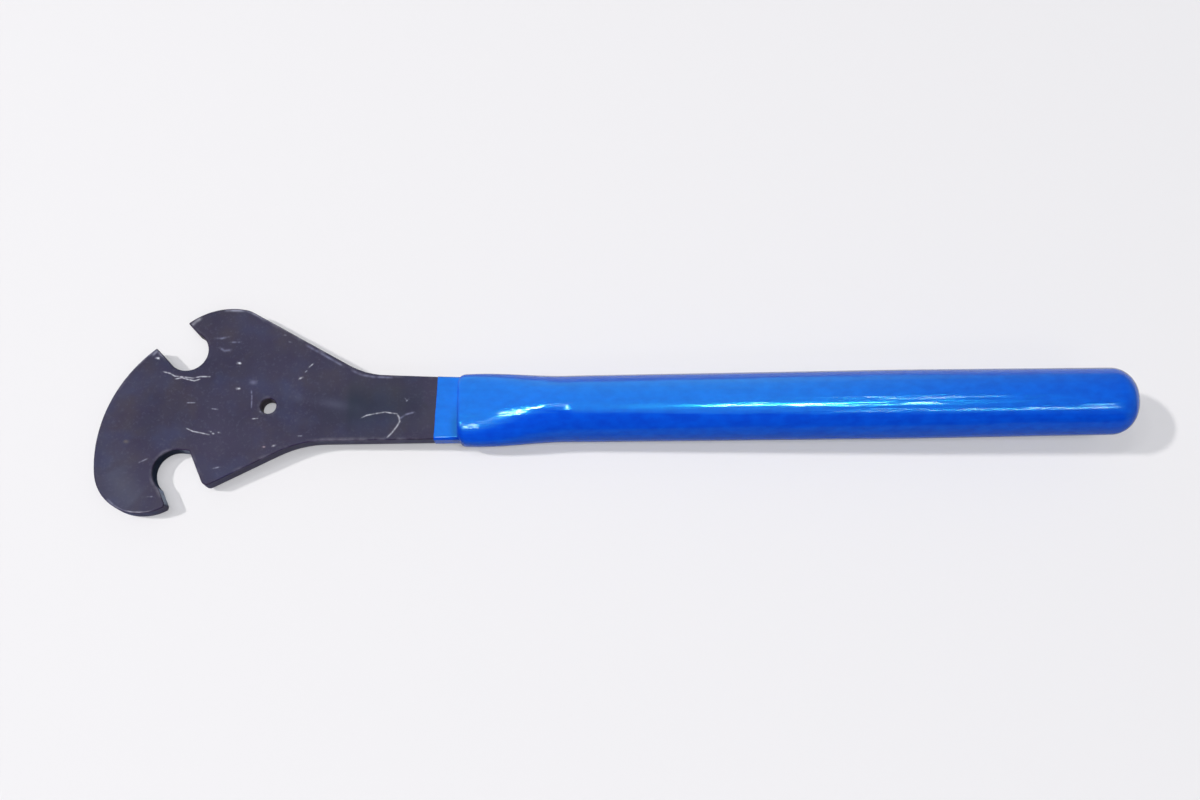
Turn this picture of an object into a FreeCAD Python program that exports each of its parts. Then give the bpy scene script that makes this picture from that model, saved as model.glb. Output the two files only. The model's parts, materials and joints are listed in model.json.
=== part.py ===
import FreeCAD, Part
import math
import os
import re

import Sketcher

# A pedal wrench: a flat steel head with two open jaws, a steel tube pressed flat over the
# tongue of the head, a plug in the tail of the tube, and a dipped vinyl grip over them all.
# Lengths are in millimetres and angles in degrees.
#
# The sketches share one working frame: X runs from the nose of the head to the tail,
# Y is measured from the axis of the handle in the plane of the head, and Z from the middle
# of the head's thickness. Every piece is then placed so that the origin is at the bottom
# centre of the whole tool.

SIZES = [
    ("overall_length", 393.8, "nose of the head to the end of the grip"),

    ("plate_thickness", 6.0, "thickness of the head and its tang"),
    ("outer_radius", 53.0, "long arc on the left edge of the head"),
    ("outer_drop", 15.0, "centre of that arc below the handle axis"),
    ("nose_radius", 18.4, "arc round the nose of the lower hook"),
    ("nose_drop", 20.3, "centre of the nose arc below the handle axis"),
    ("top_radius", 26.0, "arc over the top of the head"),
    ("top_reach", 47.0, "centre of the top arc from the left end"),
    ("top_rise", 15.9, "centre of the top arc above the handle axis"),
    ("upper_slope_angle", 30.4, "slope from the top arc down to the tang"),
    ("upper_slope_reach", 99.7, "where that slope would meet the tang"),
    ("lower_slope_angle", 26.4, "slope from the lower jaw up to the tang"),
    ("lower_slope_reach", 76.0, "where that slope would meet the tang"),
    ("tang_rise_front", 14.2, "top edge of the tang at the upper slope"),
    ("tang_rise_back", 12.3, "top edge of the tang at the tube"),
    ("tang_fall", 12.0, "bottom edge of the tang below the handle axis"),
    ("upper_slope_fillet", 30.0, "hollow round between slope and tang, above"),
    ("lower_slope_fillet", 40.0, "hollow round between slope and tang, below"),
    ("crown_round", 10.0, "round between the top arc and the upper slope"),
    ("hook_round", 1.4, "round on the tip of the lower hook"),
    ("heel_round", 2.2, "round on the heel beside the lower jaw"),
    ("jaw_tip_round", 0.5, "round on the two tips of the upper jaw"),
    ("edge_break", 0.35, "small chamfer round both faces of the head"),

    ("jaw_opening", 15.1, "width across the faces of both jaws"),
    ("jaw_cutter_length", 32.0, "reach of each jaw's cut, out past the head"),
    ("upper_jaw_angle", 47.0, "upper jaw, up from the line to the nose"),
    ("upper_jaw_reach", 31.2, "centre of the upper jaw's round end"),
    ("upper_jaw_rise", 24.6, "the same above the handle axis"),
    ("upper_relief", 0.35, "round end wider than half the opening"),
    ("upper_relief_shift", 0.25, "round end off the middle of the jaw"),
    ("lower_jaw_angle", 65.7, "lower jaw, down from the line to the tail"),
    ("lower_jaw_reach", 30.5, "centre of the lower jaw's round end"),
    ("lower_jaw_fall", 22.9, "the same below the handle axis"),
    ("lower_relief", 0.75, "round end wider than half the opening"),
    ("lower_corner", 1.75, "depth of the square corner in the round end"),

    ("hole_diameter", 6.0, "hanging hole"),
    ("hole_reach", 63.5, "hanging hole from the left end"),
    ("hole_rise", 2.0, "hanging hole above the handle axis"),

    ("tongue_length", 30.0, "part of the head inside the tube"),
    ("tongue_side_gap", 0.1, "left beside the tongue, each side"),
    ("tongue_face_gap", 0.05, "left above and below the tongue"),

    ("tube_diameter", 19.05, "outside of the round tube"),
    ("tube_wall", 2.0, "wall of the tube"),
    ("mouth_reach", 136.4, "flattened mouth of the tube"),
    ("mouth_land", 5.0, "length that stays flat behind the mouth"),
    ("transition_length", 37.0, "from flat to round, behind the land"),

    ("plug_spigot", 14.0, "length of the plug inside the tube"),
    ("plug_head", 5.0, "thickness of the plug's head"),
    ("plug_bevel", 2.8, "bevel on the rim of the plug's head"),

    ("skin_on_tang", 0.35, "vinyl on the tang"),
    ("skin_on_mouth", 1.2, "vinyl in front of the mouth of the tube"),
    ("skin_at_mouth", 1.9, "vinyl round the mouth of the tube"),
    ("skin_at_round", 3.15, "vinyl where the tube is round again"),
    ("skin_at_swell", 3.7, "vinyl where the grip is thickest"),
    ("skin_at_tail", 3.3, "vinyl at the tail of the tube"),
    ("skin_on_plug", 3.4, "vinyl behind the plug"),
    ("swell_reach", 305.0, "where the grip is thickest"),
    ("tail_round", 9.2, "round from the side of the grip to its end"),
    ("tail_dome", 26.0, "radius of the domed end of the grip"),
    ("lip_round", 1.1, "round on the vinyl at the mouth of the tube"),
    ("dip_reach", 126.75, "edge of the vinyl on the tang, on the axis"),
    ("dip_slant", 0.55, "lean of that edge, at each side of the tang"),
]

# Sections between the flat mouth and the round tube: the share of the way along, and the
# share of the way from the flattened thickness to the full diameter.
FLAT_TO_ROUND = [(0.32, 0.22), (0.66, 0.68)]

# Shapes that agree to this length are taken as the same.
TOLERANCE = 0.001

doc = FreeCAD.newDocument("pedal_wrench")

sheet = doc.addObject("Spreadsheet::Sheet", "sizes")
for row, (name, number, note) in enumerate(SIZES, start=1):
    sheet.set(f"A{row}", name)
    sheet.set(f"B{row}", str(number))
    sheet.set(f"C{row}", note)
    sheet.setAlias(f"B{row}", name)
doc.recompute()


# Sizes: an expression is written with the names in the sheet, which all hold an underscore

def linked(expression):
    return re.sub(r"\b([a-z]+(?:_[a-z]+)+)\b", r"sizes.\1", expression)


def now(expression):
    return float(sheet.evalExpression(expression))


def bind(thing, path, expression):
    thing.setExpression(path, linked(expression))


# Places on the tool that several pieces share
FLAT_THICKNESS = "(plate_thickness + 2 * tongue_face_gap + 2 * tube_wall)"
ROUND_REACH = "(mouth_reach + mouth_land + transition_length)"
TUBE_END = "(overall_length - skin_on_plug - plug_head)"
UPPER_RELIEF = "(jaw_opening / 2 + upper_relief)"
LOWER_RELIEF = "(jaw_opening / 2 + lower_relief)"
BRIDGE_ASIDE = "(jaw_opening / 4)"

# The middle of the head's height, and the height of the handle's axis over the ground
MIDDLE_Y = "((top_rise + top_radius - nose_drop - nose_radius) / 2)"
AXIS_HEIGHT = "(tube_diameter / 2 + skin_at_swell)"


# Bodies and sketches

def new_body(label):
    body = doc.addObject("PartDesign::Body", label)
    body.Label = label
    bind(body, "Placement.Base.x", "-overall_length / 2")
    bind(body, "Placement.Base.y", "-" + MIDDLE_Y)
    bind(body, "Placement.Base.z", AXIS_HEIGHT)
    return body


def new_sketch(body, name, role):
    sketch = body.newObject("Sketcher::SketchObject", name)
    plane = next(p for p in body.Origin.OriginFeatures if p.Role == role)
    sketch.AttachmentSupport = [(plane, "")]
    sketch.MapMode = "FlatFace"
    return sketch


def point(x, y):
    return FreeCAD.Vector(x, y, 0)


def line(sketch, start, end):
    return sketch.addGeometry(Part.LineSegment(point(*start), point(*end)), False)


def arc(sketch, centre, radius, start_angle, end_angle):
    circle = Part.Circle(point(*centre), FreeCAD.Vector(0, 0, 1), radius)
    turn = Part.ArcOfCircle(circle, math.radians(start_angle), math.radians(end_angle))
    return sketch.addGeometry(turn, False)


def join(sketch, first, second):
    """The end of one edge is the start of the next."""
    sketch.addConstraint(Sketcher.Constraint("Coincident", first, 2, second, 1))


def flow(sketch, first, second):
    """The end of one edge runs smoothly into the start of the next."""
    sketch.addConstraint(Sketcher.Constraint("Tangent", first, 2, second, 1))


def rule(sketch, kind, *edges):
    sketch.addConstraint(Sketcher.Constraint(kind, *edges))


def size(sketch, kind, *edges, by):
    """A dimension of the sketch, bound to the sheet."""
    number = now(by)
    if kind == "Angle":
        number = math.radians(number)
    index = sketch.addConstraint(Sketcher.Constraint(kind, *edges, number))
    bind(sketch, f"Constraints[{index}]", by)


def place(sketch, edge, end, x=None, y=None):
    """Place a point of an edge from the sketch's origin; a length left out stays free."""
    for kind, by in (("DistanceX", x), ("DistanceY", y)):
        if by is None:
            continue
        if by == "0":
            axis = -2 if kind == "DistanceX" else -1
            rule(sketch, "PointOnObject", edge, end, axis)
        else:
            size(sketch, kind, -1, 1, edge, end, by=by)


def polar(centre, radius, angle):
    turn = math.radians(angle)
    return centre[0] + radius * math.cos(turn), centre[1] + radius * math.sin(turn)


def bearing(centre, spot):
    return math.degrees(math.atan2(spot[1] - centre[1], spot[0] - centre[0])) % 360


def cut_by(body, feature):
    """Recompute a cutting feature and make sure that it took something away."""
    before = feature.BaseFeature.Shape.Volume
    doc.recompute()
    if feature.Shape.isNull() or feature.Shape.Volume > before - 0.01:
        raise RuntimeError(f"{feature.Name} cuts nothing from {body.Label}")


def pad(body, sketch, name, thickness):
    feature = body.newObject("PartDesign::Pad", name)
    feature.Profile = sketch
    feature.SideType = "Symmetric"
    bind(feature, "Length", thickness)
    doc.recompute()
    return feature


def pocket_through(body, sketch, name):
    feature = body.newObject("PartDesign::Pocket", name)
    feature.Profile = sketch
    feature.SideType = "Symmetric"
    feature.Type = "ThroughAll"
    cut_by(body, feature)
    return feature


def revolve(body, sketch, kind, name):
    """Turn a profile about the handle's axis, which is the sketch's horizontal axis."""
    feature = body.newObject(f"PartDesign::{kind}", name)
    feature.Profile = sketch
    feature.ReferenceAxis = (sketch, ["H_Axis"])
    feature.Angle = 360
    if kind == "Groove":
        cut_by(body, feature)
    doc.recompute()
    return feature


# The head

def line_meets_circle(start, angle, centre, radius):
    """The last point where a line from start, in the direction of angle, leaves a circle."""
    turn = math.radians(angle)
    along = (math.cos(turn), math.sin(turn))
    offset = (start[0] - centre[0], start[1] - centre[1])
    half = offset[0] * along[0] + offset[1] * along[1]
    square = half ** 2 - (offset[0] ** 2 + offset[1] ** 2 - radius ** 2)
    reach = -half + math.sqrt(square)
    return start[0] + reach * along[0], start[1] + reach * along[1]


def lines_meet(first, first_angle, second, second_angle):
    a, b = math.radians(first_angle), math.radians(second_angle)
    across = (second[0] - first[0]) * math.sin(b) - (second[1] - first[1]) * math.cos(b)
    reach = across / math.sin(b - a)
    return first[0] + reach * math.cos(a), first[1] + reach * math.sin(a)


def head_corners():
    """Centres and sharp corners of the head's outline, before its rounds."""
    spots = {}
    spots["outer"] = (now("outer_radius"), -now("outer_drop"))
    spots["top"] = (now("top_reach"), now("top_rise"))
    inner = now("outer_radius - nose_radius")
    nose_y = -now("nose_drop")
    nose_x = spots["outer"][0] - math.sqrt(inner ** 2 - (nose_y - spots["outer"][1]) ** 2)
    spots["nose"] = (nose_x, nose_y)
    spots["low_shoulder"] = (now("lower_slope_reach"), -now("tang_fall"))
    spots["high_shoulder"] = (now("upper_slope_reach"), now("tang_rise_front"))
    spots["low_end"] = (now("mouth_reach"), -now("tang_fall"))
    spots["high_end"] = (now("mouth_reach"), now("tang_rise_back"))
    spots["under_nose"] = line_meets_circle(
        spots["low_shoulder"], now("lower_slope_angle"), spots["nose"], now("nose_radius"))
    spots["crown"] = line_meets_circle(
        spots["high_shoulder"], 180 - now("upper_slope_angle"), spots["top"], now("top_radius"))

    # The two arcs beside the upper jaw end in its opening, a quarter of it from its middle
    jaw = (now("upper_jaw_reach"), now("upper_jaw_rise"))
    mouth = 180 - now("upper_jaw_angle")
    aside = now(BRIDGE_ASIDE)
    spots["jaw"] = jaw
    spots["jaw_front"] = polar(jaw, now("jaw_cutter_length"), mouth)
    spots["bridge_outer"] = line_meets_circle(
        polar(jaw, aside, mouth + 90), mouth, spots["outer"], now("outer_radius"))
    spots["bridge_top"] = line_meets_circle(
        polar(jaw, aside, mouth - 90), mouth, spots["top"], now("top_radius"))
    return spots


def head_outline(body, spots):
    sketch = new_sketch(body, "head_outline", "XY_Plane")
    meet = bearing(spots["outer"], spots["nose"])
    outer = arc(sketch, spots["outer"], now("outer_radius"),
                bearing(spots["outer"], spots["bridge_outer"]), meet)
    nose = arc(sketch, spots["nose"], now("nose_radius"),
               meet, bearing(spots["nose"], spots["under_nose"]))
    low_slope = line(sketch, spots["under_nose"], spots["low_shoulder"])
    low_tang = line(sketch, spots["low_shoulder"], spots["low_end"])
    end = line(sketch, spots["low_end"], spots["high_end"])
    high_tang = line(sketch, spots["high_end"], spots["high_shoulder"])
    high_slope = line(sketch, spots["high_shoulder"], spots["crown"])
    top = arc(sketch, spots["top"], now("top_radius"),
              bearing(spots["top"], spots["crown"]), bearing(spots["top"], spots["bridge_top"]))
    bridge = line(sketch, spots["bridge_top"], spots["bridge_outer"])
    middle = line(sketch, spots["jaw"], spots["jaw_front"])
    sketch.toggleConstruction(middle)

    flow(sketch, outer, nose)
    loop = [nose, low_slope, low_tang, end, high_tang, high_slope, top, bridge, outer]
    for first, second in zip(loop, loop[1:]):
        join(sketch, first, second)
    size(sketch, "Radius", outer, by="outer_radius")
    place(sketch, outer, 3, x="outer_radius", y="-outer_drop")
    size(sketch, "Radius", nose, by="nose_radius")
    place(sketch, nose, 3, y="-nose_drop")
    size(sketch, "Radius", top, by="top_radius")
    place(sketch, top, 3, x="top_reach", y="top_rise")
    place(sketch, low_tang, 1, x="lower_slope_reach", y="-tang_fall")
    rule(sketch, "Horizontal", low_tang)
    rule(sketch, "Vertical", end)
    place(sketch, end, 2, x="mouth_reach", y="tang_rise_back")
    place(sketch, high_slope, 1, x="upper_slope_reach", y="tang_rise_front")
    size(sketch, "Angle", low_slope, by="lower_slope_angle")
    size(sketch, "Angle", high_slope, by="180 - upper_slope_angle")
    place(sketch, middle, 1, x="upper_jaw_reach", y="upper_jaw_rise")
    size(sketch, "Angle", middle, by="180 - upper_jaw_angle")
    size(sketch, "Distance", middle, by="jaw_cutter_length")
    size(sketch, "Distance", bridge, 1, middle, by=BRIDGE_ASIDE)
    size(sketch, "Distance", bridge, 2, middle, by=BRIDGE_ASIDE)
    return sketch


def jaw_sketch(body, name, x, y, angle):
    """A sketch at the centre of a jaw's round end, with its own X out through the mouth."""
    sketch = new_sketch(body, name, "XY_Plane")
    turn = FreeCAD.Rotation(FreeCAD.Vector(0, 0, 1), now(angle))
    sketch.AttachmentOffset = FreeCAD.Placement(point(now(x), now(y)), turn)
    bind(sketch, "AttachmentOffset.Base.x", x)
    bind(sketch, "AttachmentOffset.Base.y", y)
    bind(sketch, "AttachmentOffset.Rotation.Angle", angle)
    return sketch


def upper_jaw(body):
    """Two parallel faces that run into a slightly wider round end."""
    sketch = jaw_sketch(body, "upper_jaw", "upper_jaw_reach", "upper_jaw_rise",
                        "180 - upper_jaw_angle")
    reach = now("jaw_cutter_length")
    radius = now(UPPER_RELIEF)
    nose_side = now("jaw_opening / 2 + upper_relief_shift")
    tail_side = now("jaw_opening / 2 - upper_relief_shift")
    nose_turn = math.degrees(math.asin(nose_side / radius))
    tail_turn = 360 - math.degrees(math.asin(tail_side / radius))
    nose_face = line(sketch, (reach, nose_side), polar((0, 0), radius, nose_turn))
    end = arc(sketch, (0, 0), radius, nose_turn, tail_turn)
    tail_face = line(sketch, polar((0, 0), radius, tail_turn), (reach, -tail_side))
    mouth = line(sketch, (reach, -tail_side), (reach, nose_side))
    loop = [nose_face, end, tail_face, mouth, nose_face]
    for first, second in zip(loop, loop[1:]):
        join(sketch, first, second)
    rule(sketch, "Coincident", end, 3, -1, 1)
    size(sketch, "Radius", end, by=UPPER_RELIEF)
    rule(sketch, "Horizontal", nose_face)
    rule(sketch, "Horizontal", tail_face)
    place(sketch, nose_face, 1, x="jaw_cutter_length", y="jaw_opening / 2 + upper_relief_shift")
    place(sketch, tail_face, 2, x="jaw_cutter_length", y="upper_relief_shift - jaw_opening / 2")
    return sketch


def lower_jaw(body):
    """The same, with a square corner left at the back of the face on the tail's side."""
    sketch = jaw_sketch(body, "lower_jaw", "lower_jaw_reach", "-lower_jaw_fall",
                        "-lower_jaw_angle")
    depth = "(sqrt(jaw_opening * lower_relief + lower_relief ^ 2) + lower_corner)"
    reach = now("jaw_cutter_length")
    radius = now(LOWER_RELIEF)
    half = now("jaw_opening / 2")
    corner = (-now(depth), half)
    back_turn = bearing((0, 0), corner) + math.degrees(math.acos(radius / math.hypot(*corner)))
    nose_turn = 360 - math.degrees(math.asin(half / radius))
    tail_face = line(sketch, (reach, half), corner)
    back = line(sketch, corner, polar((0, 0), radius, back_turn))
    end = arc(sketch, (0, 0), radius, back_turn, nose_turn)
    nose_face = line(sketch, polar((0, 0), radius, nose_turn), (reach, -half))
    mouth = line(sketch, (reach, -half), (reach, half))
    join(sketch, tail_face, back)
    flow(sketch, back, end)
    loop = [end, nose_face, mouth, tail_face]
    for first, second in zip(loop, loop[1:]):
        join(sketch, first, second)
    rule(sketch, "Coincident", end, 3, -1, 1)
    size(sketch, "Radius", end, by=LOWER_RELIEF)
    rule(sketch, "Horizontal", tail_face)
    rule(sketch, "Horizontal", nose_face)
    place(sketch, tail_face, 1, x="jaw_cutter_length", y="jaw_opening / 2")
    place(sketch, tail_face, 2, x="-" + depth)
    place(sketch, nose_face, 2, x="jaw_cutter_length", y="-jaw_opening / 2")
    return sketch


def upright_edge(shape, spot):
    """The name of the edge across the plate that stands nearest to a corner."""
    upright = []
    for number, edge in enumerate(shape.Edges, start=1):
        box = edge.BoundBox
        if abs(box.ZLength - now("plate_thickness")) < TOLERANCE > max(box.XLength, box.YLength):
            upright.append((math.dist((box.Center.x, box.Center.y), spot), f"Edge{number}"))
    return min(upright)[1]


def round_corners(body, base, name, radius, spots):
    feature = body.newObject("PartDesign::Fillet", name)
    feature.Base = (base, [upright_edge(base.Shape, spot) for spot in spots])
    bind(feature, "Radius", radius)
    doc.recompute()
    return feature


def jaw_face_tips(spots):
    """Where the faces of the jaws come out through the head's outline."""
    upper = 180 - now("upper_jaw_angle")
    upper_centre = (now("upper_jaw_reach"), now("upper_jaw_rise"))
    nose_side = polar(upper_centre, now("jaw_opening / 2 + upper_relief_shift"), upper + 90)
    tail_side = polar(upper_centre, now("jaw_opening / 2 - upper_relief_shift"), upper - 90)
    lower = -now("lower_jaw_angle")
    lower_centre = (now("lower_jaw_reach"), -now("lower_jaw_fall"))
    hook_side = polar(lower_centre, now("jaw_opening / 2"), lower - 90)
    heel_side = polar(lower_centre, now("jaw_opening / 2"), lower + 90)
    return {
        "nose_tip": line_meets_circle(nose_side, upper, spots["outer"], now("outer_radius")),
        "tail_tip": line_meets_circle(tail_side, upper, spots["top"], now("top_radius")),
        "hook": line_meets_circle(hook_side, lower, spots["nose"], now("nose_radius")),
        "heel": lines_meet(heel_side, lower, spots["low_shoulder"], now("lower_slope_angle")),
    }


def flat_faces(shape):
    """The names of the two large faces of the plate."""
    half = now("plate_thickness / 2")
    names = []
    for number, face in enumerate(shape.Faces, start=1):
        box = face.BoundBox
        if box.ZLength < TOLERANCE and abs(abs(box.Center.z) - half) < TOLERANCE:
            names.append(f"Face{number}")
    return names


def make_head():
    body = new_body("head")
    spots = head_corners()
    pad(body, head_outline(body, spots), "plate", "plate_thickness")
    pocket_through(body, upper_jaw(body), "upper_jaw_cut")
    jaws = pocket_through(body, lower_jaw(body), "lower_jaw_cut")

    tips = jaw_face_tips(spots)
    step = round_corners(body, jaws, "upper_hollow", "upper_slope_fillet", [spots["high_shoulder"]])
    step = round_corners(body, step, "lower_hollow", "lower_slope_fillet", [spots["low_shoulder"]])
    step = round_corners(body, step, "crown", "crown_round", [spots["crown"]])
    step = round_corners(body, step, "heel", "heel_round", [tips["heel"]])
    step = round_corners(body, step, "hook", "hook_round", [tips["hook"]])
    round_corners(body, step, "jaw_tips", "jaw_tip_round", [tips["nose_tip"], tips["tail_tip"]])

    hole = new_sketch(body, "hanging_hole", "XY_Plane")
    ring = hole.addGeometry(Part.Circle(point(now("hole_reach"), now("hole_rise")),
                                        FreeCAD.Vector(0, 0, 1), now("hole_diameter / 2")), False)
    place(hole, ring, 3, x="hole_reach", y="hole_rise")
    size(hole, "Diameter", ring, by="hole_diameter")
    pocket_through(body, hole, "hanging_hole_cut")

    # The tongue is as wide as the flat inside of the tube's mouth
    half_width = "(pi / 4 * (tube_diameter - " + FLAT_THICKNESS + ") - tongue_side_gap)"
    tongue = new_sketch(body, "tongue", "XY_Plane")
    rectangle(tongue, "mouth_reach - plate_thickness", "mouth_reach + tongue_length", half_width)
    plate = pad(body, tongue, "tongue_pad", "plate_thickness")

    edges = body.newObject("PartDesign::Chamfer", "broken_edges")
    edges.Base = (plate, flat_faces(plate.Shape))
    bind(edges, "Size", "edge_break")
    cut_by(body, edges)
    return body


def rectangle(sketch, start, end, half_width):
    """A rectangle on both sides of the handle's axis."""
    x0, x1, half = now(start), now(end), now(half_width)
    low = line(sketch, (x0, -half), (x1, -half))
    back = line(sketch, (x1, -half), (x1, half))
    high = line(sketch, (x1, half), (x0, half))
    front = line(sketch, (x0, half), (x0, -half))
    loop = [low, back, high, front, low]
    for first, second in zip(loop, loop[1:]):
        join(sketch, first, second)
    rule(sketch, "Horizontal", low)
    rule(sketch, "Horizontal", high)
    rule(sketch, "Vertical", back)
    rule(sketch, "Vertical", front)
    place(sketch, low, 1, x=start, y="-" + half_width)
    place(sketch, high, 1, x=end, y=half_width)


# The tube, which is pressed flat at its mouth, and what follows its form

def cross_section(body, name, reach):
    sketch = new_sketch(body, name, "YZ_Plane")
    sketch.AttachmentOffset = FreeCAD.Placement(FreeCAD.Vector(0, 0, now(reach)), FreeCAD.Rotation())
    bind(sketch, "AttachmentOffset.Base.z", reach)
    return sketch


def flat_section(body, name, reach, thickness, skin):
    """A tube pressed to a thickness, with its girth kept: two flats and two half rounds.

    The skin is what is added all round, or taken away where it is negative.
    """
    sketch = cross_section(body, name, reach)
    radius = f"({thickness} / 2 + {skin})"
    half_flat = f"(pi / 4 * (tube_diameter - {thickness}))"
    r, e = now(radius), now(half_flat)
    right = arc(sketch, (e, 0), r, -90, 90)
    top = line(sketch, (e, r), (-e, r))
    left = arc(sketch, (-e, 0), r, 90, 270)
    bottom = line(sketch, (-e, -r), (e, -r))
    flow(sketch, right, top)
    flow(sketch, top, left)
    flow(sketch, left, bottom)
    flow(sketch, bottom, right)
    place(sketch, right, 3, x=half_flat, y="0")
    place(sketch, left, 3, x="-" + half_flat, y="0")
    size(sketch, "Radius", right, by=radius)
    rule(sketch, "Equal", right, left)
    return sketch


def round_section(body, name, reach, skin):
    sketch = cross_section(body, name, reach)
    radius = f"(tube_diameter / 2 + {skin})"
    ring = sketch.addGeometry(Part.Circle(point(0, 0), FreeCAD.Vector(0, 0, 1), now(radius)), False)
    rule(sketch, "Coincident", ring, 3, -1, 1)
    size(sketch, "Radius", ring, by=radius)
    return sketch


def flat_to_round(body, add, name, skin_front, skin_back, lead="0", straight=True):
    """A straight flat mouth, and a loft from it to the round tube.

    They are added to the body or cut from it. The skin round the tube's form grows from
    the mouth to the round part, and the lead is what it reaches out in front of the mouth.
    The pressed tube runs straight from section to section, and the vinyl on it flows.
    """
    mouth = flat_section(body, f"{name}_mouth", f"mouth_reach - {lead}", FLAT_THICKNESS, skin_front)
    land = body.newObject("PartDesign::Pad" if add else "PartDesign::Pocket", f"{name}_flat")
    land.Profile = mouth
    land.Reversed = not add
    bind(land, "Length", f"mouth_land + {lead}")

    sections = [flat_section(body, f"{name}_land", "mouth_reach + mouth_land", FLAT_THICKNESS,
                             skin_front)]
    for number, (along, share) in enumerate(FLAT_TO_ROUND, start=1):
        reach = f"mouth_reach + mouth_land + {along} * transition_length"
        thickness = f"({FLAT_THICKNESS} + {share} * (tube_diameter - {FLAT_THICKNESS}))"
        skin = f"({skin_front} + {along} * ({skin_back} - {skin_front}))"
        sections.append(flat_section(body, f"{name}_change_{number}", reach, thickness, skin))
    sections.append(round_section(body, f"{name}_round", ROUND_REACH, skin_back))
    doc.recompute()
    loft = body.newObject("PartDesign::AdditiveLoft" if add else "PartDesign::SubtractiveLoft", name)
    loft.Profile = sections[0]
    loft.Sections = sections[1:]
    loft.Ruled = straight
    if not add:
        cut_by(body, land)
        cut_by(body, loft)
    doc.recompute()
    return loft


def stepped_profile(sketch, start, end, radius, bevel=None):
    """Half a section of a cylinder on the handle's axis, with a bevelled rim at its end."""
    x0, x1, r = now(start), now(end), now(radius)
    front = line(sketch, (x0, 0), (x0, r))
    if bevel is None:
        side = line(sketch, (x0, r), (x1, r))
        back = line(sketch, (x1, r), (x1, 0))
        join(sketch, side, back)
    else:
        cut = now(bevel)
        side = line(sketch, (x0, r), (x1 - cut, r))
        slope = line(sketch, (x1 - cut, r), (x1, r - cut))
        back = line(sketch, (x1, r - cut), (x1, 0))
        join(sketch, side, slope)
        join(sketch, slope, back)
        size(sketch, "DistanceX", slope, 1, slope, 2, by=bevel)
        size(sketch, "DistanceY", slope, 2, slope, 1, by=bevel)
    axis = line(sketch, (x1, 0), (x0, 0))
    join(sketch, front, side)
    join(sketch, back, axis)
    join(sketch, axis, front)
    place(sketch, front, 1, x=start, y="0")
    place(sketch, back, 2, x=end, y="0")
    rule(sketch, "Vertical", front)
    rule(sketch, "Vertical", back)
    rule(sketch, "Horizontal", side)
    size(sketch, "DistanceY", -1, 1, side, 1, by=radius)


def make_handle_tube():
    body = new_body("handle_tube")
    flat_to_round(body, True, "outside", "0", "0")
    shaft = new_sketch(body, "shaft", "XZ_Plane")
    stepped_profile(shaft, ROUND_REACH, TUBE_END, "(tube_diameter / 2)")
    revolve(body, shaft, "Revolution", "round_tube")
    flat_to_round(body, False, "inside", "(-tube_wall)", "(-tube_wall)")
    bore = new_sketch(body, "bore", "XZ_Plane")
    stepped_profile(bore, ROUND_REACH, TUBE_END, "(tube_diameter / 2 - tube_wall)")
    revolve(body, bore, "Groove", "round_bore")
    return body


def make_end_plug():
    body = new_body("end_plug")
    spigot = new_sketch(body, "spigot", "XZ_Plane")
    stepped_profile(spigot, TUBE_END + " - plug_spigot", TUBE_END,
                    "(tube_diameter / 2 - tube_wall)")
    revolve(body, spigot, "Revolution", "spigot_turned")
    dome = new_sketch(body, "dome", "XZ_Plane")
    stepped_profile(dome, TUBE_END, TUBE_END + " + plug_head", "(tube_diameter / 2)", "plug_bevel")
    revolve(body, dome, "Revolution", "dome_turned")
    return body


def grip_profile(body):
    """Half a section of the round grip: a slow swell, a rounded tail and a domed end."""
    sketch = new_sketch(body, "grip_profile", "XZ_Plane")
    start, end = now(ROUND_REACH), now("overall_length")
    r0, r1, r2 = (now(f"tube_diameter / 2 + skin_at_{spot}") for spot in ("round", "swell", "tail"))
    corner_radius, dome_radius = now("tail_round"), now("tail_dome")
    corner_y = r2 - corner_radius
    dome_centre = (end - dome_radius, 0)
    corner_x = dome_centre[0] + math.sqrt((dome_radius - corner_radius) ** 2 - corner_y ** 2)
    turn = bearing(dome_centre, (corner_x, corner_y))
    front = line(sketch, (start, 0), (start, r0))
    swell = line(sketch, (start, r0), (now("swell_reach"), r1))
    side = line(sketch, (now("swell_reach"), r1), (corner_x, r2))
    corner = arc(sketch, (corner_x, corner_y), corner_radius, turn, 90)
    dome = arc(sketch, dome_centre, dome_radius, 0, turn)
    axis = line(sketch, (end, 0), (start, 0))
    join(sketch, front, swell)
    join(sketch, swell, side)
    rule(sketch, "Tangent", side, 2, corner, 2)
    rule(sketch, "Tangent", corner, 1, dome, 2)
    rule(sketch, "Coincident", dome, 1, axis, 1)
    join(sketch, axis, front)
    rule(sketch, "Vertical", front)
    place(sketch, front, 1, x=ROUND_REACH, y="0")
    place(sketch, front, 2, y="tube_diameter / 2 + skin_at_round")
    place(sketch, swell, 2, x="swell_reach", y="tube_diameter / 2 + skin_at_swell")
    place(sketch, side, 2, y="tube_diameter / 2 + skin_at_tail")
    size(sketch, "Radius", corner, by="tail_round")
    size(sketch, "Radius", dome, by="tail_dome")
    place(sketch, dome, 3, y="0")
    place(sketch, dome, 1, x="overall_length", y="0")
    return sketch


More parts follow.
